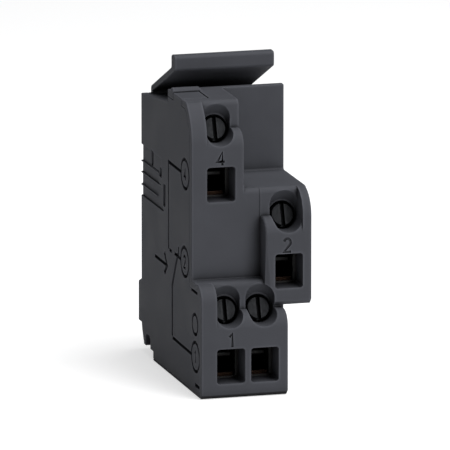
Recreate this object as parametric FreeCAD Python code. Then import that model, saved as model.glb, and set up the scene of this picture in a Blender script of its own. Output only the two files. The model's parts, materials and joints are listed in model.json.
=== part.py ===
"""Auxiliary contact block for a circuit breaker: one changeover contact with front screw terminals.

Frame in millimetres: X across the width with the diagram side at -X, Y through the depth with the
terminals facing -Y, Z up, and the origin under the middle of the overall box.
Places are written as (across, depth, height): across from the left side face, depth forwards from
the back plane and height from the surface that the block stands on.
"""
import FreeCAD, Part
import math
import os
from FreeCAD import Vector

# Terminals: 4 is normally open, 2 normally closed, and 1a and 1b are the common pair
left_terminal = 3.36     # left side face to the middle of terminals 4 and 1a
inner_terminal = 7.19    # left side face to the middle of terminal 1b
right_margin = 2.59      # middle of terminal 2 to the right side face
low_entry = 3.57         # height of the common wire entries
mid_step = 9.89          # common wire entries up to entry 2
top_step = 9.54          # entry 2 up to entry 4
entry_width = 3.15
entry_height = 3.86
entry_corner = 0.33
screw_rise = 5.8         # entry centre up to the screw head's centre
screw_set = 2.70         # block's front back to the middle of the head's face
screw_tilt = 24.0        # degrees that the screw points up
screw_travel = 2.0

# Overall form
width = 13.0             # left side face to right side face
low_reach = 13.0         # plain wall beside terminal 4 forwards to the front of 1a and 1b
mid_reach = 11.27        # and to the front of terminal 2
top_reach = 8.95         # and to the front of terminal 4
top_width = 5.97         # of the block with terminal 4
rib_half = 2.66          # terminal's middle to the free side of the other blocks
mid_drop = 3.8           # entry 2 down to the underside of its block
deck_drop = 2.63         # front wall's top down to the rear deck at the back plane
deck_slope = 6.5         # degrees, rising to the front
deck_wall = 0.85         # thickness of the wall that stands in front of the deck
ridge_width = 3.0        # of the raised ridge over the top left corner
ridge_rise = 0.45        # of the ridge over the front wall
ridge_drop = 0.63        # front wall's top down to where the slope behind the ridge starts
ridge_run = 0.6          # plain wall's face forwards to where the ridge's flat top starts
ridge_flat = 0.35        # depth of that flat top
base_start = 4.86        # depth where the flat underside starts
base_bevel = 0.45        # on the front lower edges
edge_round = 0.25        # on the upright corners
shoulder_round = 0.62    # on the front edges of the shelves
panel_fillet = 0.25      # where the middle shelf meets the wall
corner_wide = 0.7        # slanted cut on the middle block's lower left corner
corner_deep = 0.33

# Screwdriver channels and the ribs beside them
recess_step = 2.25       # block's front back to the face round the screw hole
channel_radius = 1.575
channel_play = 0.2       # screw head's face back to the end of the channel's floor
bore_gap = 0.215         # radial, round the screw's head
arch_lift = 1.22         # rise of the channel's arch over the screw's centre
arch_run = 1.0           # depth over which the arch flares
arch_roof = 0.335        # least wall between the arch and the shelf above it
flare_steps = 12         # flat strips in the flare's half round roof
rib_lift = 0.07          # screw's centre up to the top of a rib
rib_round = 1.76         # front shoulder of the ribs
wall_round = 3.05        # shoulder of the middle block's outer wall
top_wall_round = 5.3     # long curve of the top block's left wall
top_wall_run = 2.45      # block's front back to where that curve leaves the flat top

# Screws, clamps and pressure feet
head_radius = 1.32
head_thick = 1.3
head_chamfer = 0.24
slot_width = 0.45
slot_deep = 0.7
slot_turn = 7.0          # degrees that the slots stand off upright
shank_radius = 1.0
shank_length = 6.4       # head's face to the shoulder that bears on the foot
spigot_radius = 0.7
spigot_length = 0.6
thread_gap = 0.03        # radial, in the clamp's threaded nose
spigot_gap = 0.03        # radial, in the foot's socket
socket_gap = 0.05        # under the spigot's end
nose_half = 1.4          # half width of the clamp's threaded nose
nose_start = 3.4         # along the screw from the head's face
nose_length = 1.9
clamp_half = 1.6
clamp_wall = 0.4
clamp_front = 2.8        # block's front back to the clamp
clamp_length = 7.0
clamp_down = 2.1         # entry centre down to the clamp's underside
clamp_drop = 2.9         # screw head's centre down to the clamp's top
clamp_open = 4.1         # length of closed ring at the front
pocket_gap = 0.08        # round the clamps
foot_half = 1.1
foot_plate = 0.6
foot_low = 0.1           # underside over the entry centre, screw backed out
foot_front = 4.4         # block's front back to the foot's front edge
foot_edge = 0.2          # rounding of that edge
foot_heel = 1.39         # screw's shoulder back to the foot's heel
foot_neck = 0.16         # foot's raised part forwards past the screw's shoulder
foot_collar = 0.95       # half height of the face that the screw bears on

# Side cover
cover_thick = 0.8
cover_margin = 0.8       # blocks' fronts back to the cover's edge
cover_lift = 0.22        # of the cover's lower edge over the flat underside
cover_lift_run = 5.4     # front of the common terminals back to where that lift ends
tab_width = 2.95         # of the cover's snap tab, from the left face
tab_run = 1.4            # plain wall's face forwards to the tab
tab_length = 3.5
tab_gap = 0.12           # of the groove round the tab

# Hollows in the cover's rear, as (rear end, front end, bottom, top, depth of the hollow)
hollows = [
    (-1.0, 4.0, 21.74, 23.57, 0.20),
    (4.0, 8.5, 21.74, 23.57, 0.08),
    (-1.0, 7.35, 20.46, 21.60, 0.20),
    (-1.0, 9.05, 19.06, 20.32, 0.20),
    (6.4, 9.05, 18.92, 19.06, 0.20),
    (-1.0, 9.05, 17.80, 18.92, 0.20),
]

# Rear chamber and mechanism
side_wall = 1.1          # right wall of the chamber
back_wall = 1.2
hook_wall = 0.8          # round the hook's notch
hook_gap = 0.19          # from that wall to the ears of the common bar
front_wall = 1.1         # chamber to the plain wall's face
roof = 1.9               # chamber's top up to the rear deck
bar_thick = 0.4
bar_half = 1.05
bar_set = 0.2            # front of a clamp back to the end of a bar in it
pole_across = 7.0        # middle of the moving blade
blade_half = 0.7
blade_thick = 0.35
blade_over = 0.9         # of the blade past the contact's middle
pivot_run = 4.05         # pivot forwards to the chamber's front
pivot_rise = 2.43        # common entries up to the pivot
pivot_radius = 0.4
pivot_gap = 0.03
hub_radius = 0.8
ear_half = 1.0           # half the width of the bar's ears, which carry the pin
ear_round = 0.9
ear_gap = 0.08           # between the ears and the blade's hub
pin_proud = 0.15         # of the pin's ends over the ears
web_width = 1.8          # of the common bar's cross web
bar_gap = 0.2            # from the chamber's front wall to the web
contact_rise = 0.64      # entry 2 up to the contacts
contact_radius = 0.85
contact_thick = 0.45
contact_core = 0.4       # radius of the rivet's core in the blade
contact_gap = 1.25       # open gap at the normally open contact
touch_gap = 0.02         # left between the closed contacts
plate_half = 1.2         # half height of the plates behind the fixed contacts
plate_reach = 1.0        # of those plates past the blade's middle
push_rise = 4.8          # pivot up to the plunger
plunger_radius = 1.1
plunger_gap = 0.05
plunger_proud = 0.9
plunger_chamfer = 0.2
flange_radius = 1.8
flange_thick = 0.4
flange_gap = 0.1         # back wall to the flange
nose_radius = 0.5
nose_gap = 0.1
spring_radius = 0.95
spring_wire = 0.2
spring_gap = 0.03        # at each end of the spring
spring_turns = 4
spring_steps = 12        # straight stretches in a turn of the coil
spring_sides = 6         # of the wire's section
peg_radius = 0.6
peg_length = 1.0

# Rear foot, hook and release latch
foot_reach = 1.25
foot_bottom = 3.3
foot_top = 8.3
foot_chamfer = 0.5
hook_bottom = 1.0        # height of the hook's tip
hook_nose = 1.05         # depth of the hook's rear corner
hook_slant = 0.2         # depth where the slant above that corner ends
hook_rise = 0.7          # that end up to the foot's underside
notch_rear = 1.75        # depths of the notch in front of the hook
notch_front = 3.65
notch_top = 2.4
notch_round = 0.6
latch_side = 0.83        # from each side face
latch_back = 1.05        # depth of its rear face
latch_stem = 0.75        # thickness of the upright root
latch_plate = 0.7        # thickness of the sloping plate
latch_lean = 23.6        # degrees that the plate rises to the front
latch_rise = 0.86        # deck up to where the plate starts at the rear face
latch_round = 0.4        # on its corners
lip_rear = 9.6           # depths of the upright lip
lip_front = 11.05
lip_rise = 3.57          # front wall's top up to the lip's top
bead_radius = 0.55
bead_drop = 1.0          # deck down to the bead's axis
bead_gap = 0.05
stem_gap = 0.14          # on each side of the root in its slot

# Modelling allowances
lap = 0.5                # how far joined forms run into each other
past = 1.0               # how far a cutting shape reaches past what it cuts
hair = 1e-4              # for telling whether two places are the same

# Places that follow from these sizes
pivot_depth = base_start + hook_wall + hook_gap + ear_half
chamber_front = pivot_depth + pivot_run
panel_depth = chamber_front + front_wall
low_depth = panel_depth + low_reach
mid_depth = panel_depth + mid_reach
top_depth = panel_depth + top_reach
ridge_rear = panel_depth + ridge_run
ridge_front = ridge_rear + ridge_flat
tab_rear = panel_depth + tab_run
cover_lift_end = low_depth - cover_lift_run
right_terminal = width - right_margin
low_width = inner_terminal + rib_half
mid_left = right_terminal - rib_half
shelf_rise = screw_rise + arch_lift + channel_radius + arch_roof
mid_entry = low_entry + mid_step
top_entry = mid_entry + top_step
low_shelf = low_entry + shelf_rise
mid_shelf = mid_entry + shelf_rise
top_height = top_entry + shelf_rise
mid_base = mid_entry - mid_drop
deck_rear = top_height - deck_drop
clamp_up = screw_rise - clamp_drop
chamber_floor = low_entry - clamp_down + clamp_wall
chamber_top = deck_rear - roof
pivot_height = low_entry + pivot_rise
contact_height = mid_entry + contact_rise
plunger_height = pivot_height + push_rise
blade_rear = pivot_depth - blade_thick / 2
blade_front = pivot_depth + blade_thick / 2
closed_face = blade_rear - contact_thick - touch_gap
open_face = blade_front + contact_thick + contact_gap
latch_root = latch_back + latch_stem / 2
back_y = (low_depth + foot_reach) / 2 - foot_reach
tilt = math.radians(screw_tilt)
inward = (-math.cos(tilt), -math.sin(tilt))   # along a screw, as (depth, height)
upward = (-math.sin(tilt), math.cos(tilt))    # square to it

# Terminals, as (name, across, depth of the block's front, height of the wire entry)
terminal_4 = ("4", left_terminal, top_depth, top_entry)
terminal_2 = ("2", right_terminal, mid_depth, mid_entry)
terminal_1a = ("1a", left_terminal, low_depth, low_entry)
terminal_1b = ("1b", inner_terminal, low_depth, low_entry)
terminals = [terminal_4, terminal_2, terminal_1a, terminal_1b]


def at(across, depth, height):
    """A place in the frame from its distances across, forwards and up."""
    return Vector(across - width / 2, back_y - depth, height)


def block(a0, a1, d0, d1, z0, z1):
    """A box between two places across, two depths and two heights."""
    return Part.makeBox(a1 - a0, d1 - d0, z1 - z0, at(a0, d1, z0))


def rounded_face(corners, place):
    """A flat face with corners (u, v) or (u, v, radius), put in place by a function of u and v."""
    points = [Vector(corner[0], corner[1], 0) for corner in corners]
    starts = []
    bends = []
    ends = []
    for i, corner in enumerate(corners):
        here = points[i]
        if len(corner) == 2:
            starts.append(here)
            bends.append(None)
            ends.append(here)
            continue
        to_last = (points[i - 1] - here).normalize()
        to_next = (points[(i + 1) % len(points)] - here).normalize()
        half = to_last.getAngle(to_next) / 2
        reach = corner[2] / math.tan(half)
        middle = (to_last + to_next).normalize()
        starts.append(here + to_last * reach)
        bends.append(here + middle * corner[2] * (1 / math.sin(half) - 1))
        ends.append(here + to_next * reach)
    edges = []
    for i in range(len(points)):
        if bends[i] is not None:
            arc = [place(p.x, p.y) for p in (starts[i], bends[i], ends[i])]
            edges.append(Part.Arc(*arc).toShape())
        start, end = ends[i], starts[(i + 1) % len(points)]
        if start.distanceToPoint(end) > hair:
            edges.append(Part.LineSegment(place(start.x, start.y), place(end.x, end.y)).toShape())
    return Part.Face(Part.Wire(edges))


def side_slab(corners, a0, a1):
    """A side outline of (depth, height, radius) corners, carried across from a0 to a1."""
    return rounded_face(corners, lambda d, z: at(a0, d, z)).extrude(Vector(a1 - a0, 0, 0))


def front_slab(corners, d0, d1):
    """A front outline of (across, height, radius) corners, carried forwards from d0 to d1."""
    return rounded_face(corners, lambda a, z: at(a, d0, z)).extrude(Vector(0, d0 - d1, 0))


def ruled(low, high):
    """A solid with straight sides between two outlines of as many (across, depth, height) places."""
    outlines = [Part.makePolygon([at(*place) for place in outline + outline[:1]])
                for outline in (low, high)]
    return Part.makeLoft(outlines, True, True)


def rod_forward(across, height, radius, d0, d1):
    """A round rod along the depth."""
    return Part.makeCylinder(radius, d1 - d0, at(across, d0, height), Vector(0, -1, 0))


def rod_across(depth, height, radius, a0, a1):
    """A round rod across the width."""
    return Part.makeCylinder(radius, a1 - a0, at(a0, depth, height), Vector(1, 0, 0))


def on_screw(terminal, along, square=0.0):
    """Depth and height of a place on a screw's line, counted inwards from the head's face."""
    name, across, front, entry = terminal
    depth = front - screw_set + inward[0] * along + upward[0] * square
    height = entry + screw_rise + inward[1] * along + upward[1] * square
    return depth, height


def screw_rod(terminal, start, end, radius, end_radius=None):
    """A round rod or cone on a terminal's screw line."""
    place = at(terminal[1], *on_screw(terminal, start))
    direction = Vector(0, -inward[0], inward[1])
    if end_radius is None:
        return Part.makeCylinder(radius, end - start, place, direction)
    return Part.makeCone(radius, end_radius, end - start, place, direction)


def fused(shapes):
    """One solid from several that touch or overlap."""
    return shapes[0].fuse(shapes[1:]).removeSplitter()


def deck_height(depth):
    """Height of the sloping rear deck at a depth."""
    return deck_rear + depth * math.tan(math.radians(deck_slope))


def round_side(solid, across, start):
    """Rounds the upright and curved edges in one side plane that lie in front of a depth."""
    x = at(across, 0, 0).x
    front_y = at(0, start, 0).y
    picked = []
    for edge in solid.Edges:
        box = edge.BoundBox
        in_plane = abs(box.XMin - x) < hair and abs(box.XMax - x) < hair
        if in_plane and box.ZLength > hair and box.YMax < front_y + hair:
            picked.append(edge)
    return solid.makeFillet(edge_round, picked)


def block_core(a0, a1, front, base, shelf):
    """A terminal block up to the face round its screw holes, with a rounded shelf edge."""
    back = panel_depth - lap
    face = front - recess_step
    return side_slab([(back, base), (face, base), (face, shelf, shoulder_round), (back, shelf)],
                     a0, a1)


def block_front(a0, a1, front, base, entry):
    """The forward part of a block, whose top forms the ribs beside the channels."""
    back = front - recess_step - past
    rib_top = entry + screw_rise + rib_lift
    return side_slab([
        (back, base), (front - base_bevel, base), (front, base + base_bevel),
        (front, rib_top, rib_round), (back, rib_top)], a0, a1)


def outer_wall(a0, a1, front, base, shelf, radius):
    """An outer wall that rises beside a channel to the shelf in one curve."""
    back = front - radius - lap
    return side_slab([
        (back, base), (front - base_bevel, base), (front, base + base_bevel),
        (front, shelf, radius), (back, shelf)], a0, a1)


def low_block():
    """The lowest block, which carries the two common terminals."""
    core = block_core(0, low_width, low_depth, 0, low_shelf)
    front = block_front(0, low_width, low_depth, 0, low_entry)
    front = round_side(front, low_width, low_depth - recess_step + lap)
    left = outer_wall(0, left_terminal - channel_radius, low_depth, 0, low_shelf, rib_round)
    return fused([core, front, left])


def mid_block():
    """The middle block, which carries the normally closed terminal."""
    core = block_core(mid_left, width, mid_depth, mid_base, mid_shelf)
    front = block_front(mid_left, width - edge_round, mid_depth, mid_base, mid_entry)
    front = round_side(front, mid_left, mid_depth - recess_step + lap)
    right = outer_wall(right_terminal + channel_radius, width, mid_depth, mid_base,
                       mid_shelf, wall_round)
    right = round_side(right, width, mid_depth - wall_round - lap)
    whole = fused([core, front, right])
    top = mid_entry + screw_rise
    cut = ruled(
        [(mid_left, mid_depth - corner_deep, mid_base), (mid_left + corner_wide, mid_depth, mid_base),
         (mid_left - past, mid_depth + past, mid_base)],
        [(mid_left, mid_depth - hair, top), (mid_left + hair, mid_depth, top),
         (mid_left - past, mid_depth + past, top)])
    return whole.cut(cut)


def top_wall_corners(margin):
    """The long curve of the top block's left wall, set back by a margin all round."""
    radius = top_wall_round - margin
    middle = top_depth - top_wall_round
    break_run = top_wall_round - top_wall_run
    drop = math.sqrt(top_wall_round ** 2 - break_run ** 2)
    level = top_height - drop
    top = top_height - margin
    leave = middle + math.sqrt(radius ** 2 - (top - level) ** 2)
    turn = math.atan2(top - level, leave - middle)
    return [(top_depth - margin, level + radius * math.tan(turn / 2), radius), (leave, top)]


def top_block():
    """The top block, which carries the normally open terminal."""
    core = block_core(0, top_width, top_depth, mid_shelf, top_height)
    rib_back = top_depth - recess_step - past
    rib_top = top_entry + screw_rise + rib_lift
    front = side_slab([
        (rib_back, mid_shelf), (top_depth, mid_shelf), (top_depth, rib_top, rib_round),
        (rib_back, rib_top)], 0, top_width)
    front = round_side(front, top_width, top_depth - recess_step + lap)
    wall_back = top_depth - top_wall_run - past
    left = side_slab([(wall_back, mid_shelf), (top_depth, mid_shelf)] + top_wall_corners(0)
                     + [(wall_back, top_height)], 0, left_terminal - channel_radius)
    return fused([core, front, left])


def top_ridge():
    """The raised ridge over the top left corner, sloped on all its free sides."""
    rear = panel_depth - deck_wall
    top = top_height + ridge_rise
    end = ridge_width + ridge_rise
    side = side_slab([
        (rear, top_height - past), (rear, top_height - ridge_drop), (ridge_rear, top),
        (ridge_front, top), (ridge_front + ridge_rise, top_height),
        (ridge_front + ridge_rise, top_height - past)], 0, end)
    right = front_slab([
        (ridge_width, top + past), (ridge_width, top), (end, top_height),
        (end, top_height - past - lap), (end + past, top_height - past - lap),
        (end + past, top + past)], rear - past, ridge_front + ridge_rise + past)
    return side.cut(right)


def shelf_fillet():
    """The small hollow rounding where the middle shelf meets the plain wall."""
    corner = block(top_width - lap, width, panel_depth - lap, panel_depth + panel_fillet,
                   mid_shelf - lap, mid_shelf + panel_fillet)
    return corner.cut(rod_across(panel_depth + panel_fillet, mid_shelf + panel_fillet,
                                 panel_fillet, 0, width + past))


def hook_outline():
    """The lower rear corner, from the flat underside back and up to the foot."""
    return [(base_start, hook_bottom), (hook_nose, hook_bottom), (hook_slant, foot_bottom - hook_rise)]


def foot_outline():
    """The foot's outline from its chamfered top down to the back plane below it."""
    return [(0, foot_top), (-foot_reach, foot_top - foot_chamfer), (-foot_reach, foot_bottom),
            (0, foot_bottom)]


def outside():
    """The whole outer form of the moulded body, with its left side in one plane."""
    wall_rear = panel_depth - deck_wall
    rear = side_slab([
        (0, foot_bottom), (0, deck_rear), (wall_rear, deck_height(wall_rear)),
        (wall_rear, top_height), (panel_depth, top_height), (panel_depth, 0),
        (base_start, 0)] + hook_outline(), 0, width)
    foot = side_slab([(lap, foot_bottom), (lap, foot_top)] + foot_outline(), 0, width)
    back = panel_depth - lap
    column = block(0, top_width, back, top_depth, 0, mid_shelf + lap)
    beside = side_slab([(back, mid_base), (top_depth, mid_base),
                        (top_depth, mid_shelf, shoulder_round), (back, mid_shelf)],
                       top_width - lap, width)
    return fused([rear, foot, column, beside, low_block(), mid_block(), top_block(),
                  top_ridge(), shelf_fillet()])


def channel(terminal):
    """The screwdriver channel: a round floor, an arch above it, a flare and the screw's bore."""
    name, across, front, entry = terminal
    face = front - recess_step
    centre = entry + screw_rise
    out = low_depth + past
    floor = rod_forward(across, centre, channel_radius, front - screw_set - channel_play, out)
    arch = rod_forward(across, centre + arch_lift, channel_radius, face, out)
    between = block(across - channel_radius, across + channel_radius, face, out,
                    centre, centre + arch_lift)
    rim = []
    for i in range(flare_steps + 1):
        turn = math.pi * i / flare_steps
        rim.append((across + channel_radius * math.cos(turn), channel_radius * math.sin(turn)))
    flare = ruled([(a, face - arch_run, centre + rise) for a, rise in rim],
                  [(a, face, centre + arch_lift + rise) for a, rise in rim])
    bore = screw_rod(terminal, -past, nose_start + lap, head_radius + bore_gap)
    return fused([floor, arch, between, flare, bore])


def wire_entry(terminal):
    """The square wire entry with rounded corners."""
    name, across, front, entry = terminal
    half_width = entry_width / 2
    half_height = entry_height / 2
    corners = [(across + a * half_width, entry + z * half_height, entry_corner)
               for a, z in ((-1, -1), (1, -1), (1, 1), (-1, 1))]
    return front_slab(corners, front - clamp_front, front + past)


def clamp_pocket(terminal):
    """The pocket for a clamp, open at the rear so that the clamp slides in from the chamber."""
    name, across, front, entry = terminal
    half = clamp_half + pocket_gap
    back = chamber_front - lap
    ring = block(across - half, across + half, back, front - clamp_front + pocket_gap,
                 entry - clamp_down - pocket_gap, entry + clamp_up + pocket_gap)
    nose_depth = on_screw(terminal, nose_start, -nose_half)[0]
    nose_height = on_screw(terminal, nose_start, nose_half)[1]
    nose = block(across - half, across + half, back, nose_depth + pocket_gap,
                 entry + clamp_up, nose_height + pocket_gap)
    return ring.fuse(nose)


def chamber():
    """The room for the mechanism, open on the side that the cover closes."""
    room = block(cover_thick - lap, width - side_wall, back_wall, chamber_front,
                 chamber_floor, chamber_top)
    hook = block(0, width, 0, base_start + hook_wall, 0, notch_top + hook_wall)
    return room.cut(hook)


def bead_height():
    """Height of the axis on which the latch gives."""
    return deck_height(latch_root) - bead_drop


def latch_socket():
    """The socket under the deck that holds the latch's bead, and the slot above it."""
    a0 = latch_side - bead_gap
    a1 = width - latch_side + bead_gap
    half = latch_stem / 2 + stem_gap
    bead = rod_across(latch_root, bead_height(), bead_radius + bead_gap, a0, a1)
    slot = block(a0, a1, latch_root - half, latch_root + half, bead_height(),
                 deck_height(latch_root) + past)
    return bead.fuse(slot)


def hook_notch():
    """The round-topped notch behind the rear hook."""
    return side_slab([
        (notch_rear, -past), (notch_front, -past), (notch_front, notch_top, notch_round),
        (notch_rear, notch_top, notch_round)], -past, width + past)


def cover_outline(margin):
    """The left side's outline, set back from the front planes by a margin."""
    wall_rear = panel_depth - deck_wall
    return [
        (base_start, cover_lift), (cover_lift_end, cover_lift), (cover_lift_end, 0),
        (low_depth - margin, 0),
        (low_depth - margin, low_shelf - margin, rib_round - margin),
        (top_depth - margin, low_shelf - margin)] + top_wall_corners(margin) + [
        (wall_rear, top_height - margin), (wall_rear, deck_height(wall_rear)),
        (0, deck_rear)] + foot_outline() + hook_outline()[::-1]


def cover_tab(gap, over):
    """The snap tab that the cover hooks over the top edge, grown by a gap for its seat."""
    return block(-over, tab_width + gap, tab_rear - gap, tab_rear + tab_length + gap,
                 top_height - cover_margin, top_height + over)


def make_casing():
    """The moulded body with its stepped terminal fronts, open on the left for the cover."""
    seat = side_slab(cover_outline(cover_margin), -past, cover_thick)
    tools = [seat, cover_tab(tab_gap, tab_gap), chamber(), latch_socket(), hook_notch()]
    for terminal in terminals:
        tools += [channel(terminal), wire_entry(terminal), clamp_pocket(terminal)]
    tools.append(rod_forward(pole_across, plunger_height, plunger_radius + plunger_gap,
                             -past, back_wall + lap))
    peg = rod_forward(pole_across, plunger_height, peg_radius,
                      chamber_front - peg_length, chamber_front + lap)
    return outside().cut(tools).fuse(peg).removeSplitter()


def make_cover():
    """The side cover, a flat plate with its snap tab and the hollows at its rear."""
    plate = side_slab(cover_outline(cover_margin), 0, cover_thick)
    tools = [hook_notch()]
    for rear, front, low, high, deep in hollows:
        tools.append(block(-past, deep, rear, front, low, high))
    return fused([plate, cover_tab(0, 0)]).cut(tools)


def latch_top(depth):
    """Height of the sloping plate's upper face at a depth."""
    return deck_height(latch_back) + latch_rise + (depth - latch_back) * math.tan(math.radians(latch_lean))


def latch_under(depth):
    """Height of the sloping plate's lower face at a depth."""
    return latch_top(depth) - latch_plate / math.cos(math.radians(latch_lean))


def make_latch():
    """The release latch: a bead in the deck, an upright root, a sloping plate and a lip."""
    low = bead_height()
    high = top_height + lip_rise
    stem_front = latch_back + latch_stem
    a0 = latch_side
    a1 = width - latch_side
    side = side_slab([
        (latch_back, low), (latch_back, latch_top(latch_back), latch_round),
        (lip_rear, latch_top(lip_rear), latch_round), (lip_rear, high, latch_round),
        (lip_front, high, latch_round), (lip_front, latch_under(lip_front), latch_round),
        (stem_front, latch_under(stem_front), latch_round), (stem_front, low)], a0, a1)
    return fused([side, rod_across(latch_root, low, bead_radius, a0, a1)])


def make_screw(terminal):
    """A slotted clamp screw with a chamfered head and a spigot on its tip."""
    rim = screw_rod(terminal, 0, head_chamfer, head_radius - head_chamfer, head_radius)
    head = screw_rod(terminal, head_chamfer, head_thick, head_radius)
    shank = screw_rod(terminal, head_thick - lap, shank_length, shank_radius)
    tip = screw_rod(terminal, shank_length - lap, shank_length + spigot_length, spigot_radius)
    slot_length = 2 * (head_radius + past)
    slot = Part.makeBox(slot_width, slot_length, slot_deep + past,
                        Vector(-slot_width / 2, -slot_length / 2, -slot_deep))
    slot.rotate(Vector(0, 0, 0), Vector(0, 0, 1), slot_turn)
    slot.rotate(Vector(0, 0, 0), Vector(1, 0, 0), 90 - screw_tilt)
    slot.translate(at(terminal[1], *on_screw(terminal, 0)))
    return fused([rim, head, shank, tip]).cut(slot)


def make_clamp(terminal):
    """A folded clamp round the wire space, with the threaded nose that carries the screw."""
    name, across, front, entry = terminal
    d1 = front - clamp_front
    d0 = d1 - clamp_length
    low = entry - clamp_down
    high = entry + clamp_up
    ring_top = high - clamp_wall
    inner = clamp_half - clamp_wall
    nose_end = nose_start + nose_length
    ring = block(across - clamp_half, across + clamp_half, d0, d1, low, high)
    wire_space = block(across - inner, across + inner, d0 - past, d1 + past,
                       low + clamp_wall, ring_top)
    window = block(across - inner, across + inner, d0 - past, d1 - clamp_open,
                   ring_top - lap, high + past)
    nose = side_slab([on_screw(terminal, nose_start, -nose_half),
                      on_screw(terminal, nose_start, nose_half),
                      on_screw(terminal, nose_end, nose_half),
                      on_screw(terminal, nose_end, -nose_half)],
                     across - nose_half, across + nose_half)
    below = block(across - clamp_half, across + clamp_half, d0 - past, d1, low, ring_top)
    bore = screw_rod(terminal, nose_start - past - lap, shank_length + past,
                     shank_radius + thread_gap)
    return fused([ring.cut([wire_space, window]), nose.cut(below)]).cut(bore)


def make_foot(terminal):
    """The pressure foot on the screw's tip, with a long plate over the wire."""
    name, across, front, entry = terminal
    low = entry + foot_low
    top = low + foot_plate
    face_low = on_screw(terminal, shank_length, -foot_collar)
    face_high = on_screw(terminal, shank_length, foot_collar)
    heel = on_screw(terminal, shank_length)[0] - foot_heel
    heel_top = face_high[1] - (face_high[0] - heel) * math.tan(tilt)
    body = side_slab([
        (heel, low), (front - foot_front, low, foot_edge), (front - foot_front, top, foot_edge),
        (face_low[0] + foot_neck, top), face_low, face_high, (heel, heel_top)],
        across - foot_half, across + foot_half)
    socket = screw_rod(terminal, shank_length - lap, shank_length + spigot_length + socket_gap,
                       spigot_radius + spigot_gap)
    return body.cut(socket)


def tongue(terminal, rear):
    """A contact bar's tongue, lying on the floor of a terminal's clamp."""
    name, across, front, entry = terminal
    low = entry - clamp_down + clamp_wall
    return block(across - bar_half, across + bar_half, rear, front - clamp_front - bar_set,
                 low, low + bar_thick)


def make_open_bar():
    """The bar of the normally open contact, from the top clamp down to the moving blade."""
    rear = open_face + contact_thick
    front = rear + bar_thick
    high = top_entry - clamp_down + clamp_wall + bar_thick
    left = left_terminal - bar_half
    drop = block(left, left_terminal + bar_half, rear, front, contact_height - plate_half, high)
    plate = block(left, pole_across + plate_reach, rear, front,
                  contact_height - plate_half, contact_height + plate_half)
    return fused([tongue(terminal_4, rear), drop, plate])


def make_closed_bar():
    """The bar of the normally closed contact, which passes the blade and turns up behind it."""
    front = closed_face - contact_thick
    rear = front - bar_thick
    low = mid_entry - clamp_down + clamp_wall
    right = right_terminal + bar_half
    rise = block(right_terminal - bar_half, right, rear, front, low, contact_height + plate_half)
    plate = block(pole_across - plate_reach, right, rear, front,
                  contact_height - plate_half, contact_height + plate_half)
    return fused([tongue(terminal_2, rear), rise, plate])


def make_common_bar():
    """The common bar: two tongues, a cross web and a fork that carries the blade's pivot."""
    low = chamber_floor
    high = low + bar_thick
    web_front = chamber_front - bar_gap
    web_rear = web_front - web_width
    ear_rear = pivot_depth - ear_half
    ear_front = pivot_depth + ear_half
    ear_top = pivot_height + ear_half
    ear_in = blade_half + ear_gap
    ear_out = ear_in + bar_thick
    web = block(left_terminal - bar_half, inner_terminal + bar_half, web_rear, web_front, low, high)
    root = block(pole_across - ear_out, pole_across + ear_out, ear_rear, web_front, low, high)
    shapes = [tongue(terminal_1a, web_rear), tongue(terminal_1b, web_rear), web, root]
    for a0, a1 in ((-ear_out, -ear_in), (ear_in, ear_out)):
        shapes.append(side_slab([
            (ear_rear, low), (ear_front, low), (ear_front, ear_top, ear_round),
            (ear_rear, ear_top, ear_round)], pole_across + a0, pole_across + a1))
    hole = rod_across(pivot_depth, pivot_height, pivot_radius,
                      pole_across - ear_out - past, pole_across + ear_out + past)
    return fused(shapes).cut(hole)


def make_pivot():
    """The pin on which the blade swings."""
    end = blade_half + ear_gap + bar_thick + pin_proud
    return rod_across(pivot_depth, pivot_height, pivot_radius,
                      pole_across - end, pole_across + end)


def make_blade():
    """The moving changeover blade with its hub."""
    left = pole_across - blade_half
    right = pole_across + blade_half
    strip = block(left, right, blade_rear, blade_front, pivot_height, contact_height + blade_over)
    hub = rod_across(pivot_depth, pivot_height, hub_radius, left, right)
    hole = rod_across(pivot_depth, pivot_height, pivot_radius + pivot_gap, left - past, right + past)
    rivet_hole = rod_forward(pole_across, contact_height, contact_core,
                             blade_rear - past, blade_front + past)
    return fused([strip, hub]).cut([hole, rivet_hole])


def contact_disc(rear, front, radius=contact_radius):
    """A contact face or core between two depths."""
    return rod_forward(pole_across, contact_height, radius, rear, front)


def make_rivet():
    """The double-faced contact rivet in the blade."""
    return fused([contact_disc(blade_rear - contact_thick, blade_rear),
                  contact_disc(blade_rear, blade_front, contact_core),
                  contact_disc(blade_front, blade_front + contact_thick)])


def make_open_tip():
    """The fixed contact that the blade closes on when the plunger is pressed."""
    return contact_disc(open_face, open_face + contact_thick)


def make_closed_tip():
    """The fixed contact that the blade rests on."""
    return contact_disc(closed_face - contact_thick, closed_face)


def make_plunger():
    """The rear plunger with its retaining flange and the nose that pushes the blade."""
    flange_start = back_wall + flange_gap
    flange_end = flange_start + flange_thick
    end_y = at(0, -plunger_proud, 0).y
    stem = rod_forward(pole_across, plunger_height, plunger_radius, -plunger_proud, flange_end)
    stem = stem.makeChamfer(plunger_chamfer, [
        edge for edge in stem.Edges
        if abs(edge.BoundBox.YMin - end_y) < hair and edge.BoundBox.YLength < hair])
    flange = rod_forward(pole_across, plunger_height, flange_radius, flange_start, flange_end)
    nose = rod_forward(pole_across, plunger_height, nose_radius,
                       flange_end - flange_gap, blade_rear - nose_gap)
    return fused([stem, flange, nose])


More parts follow.
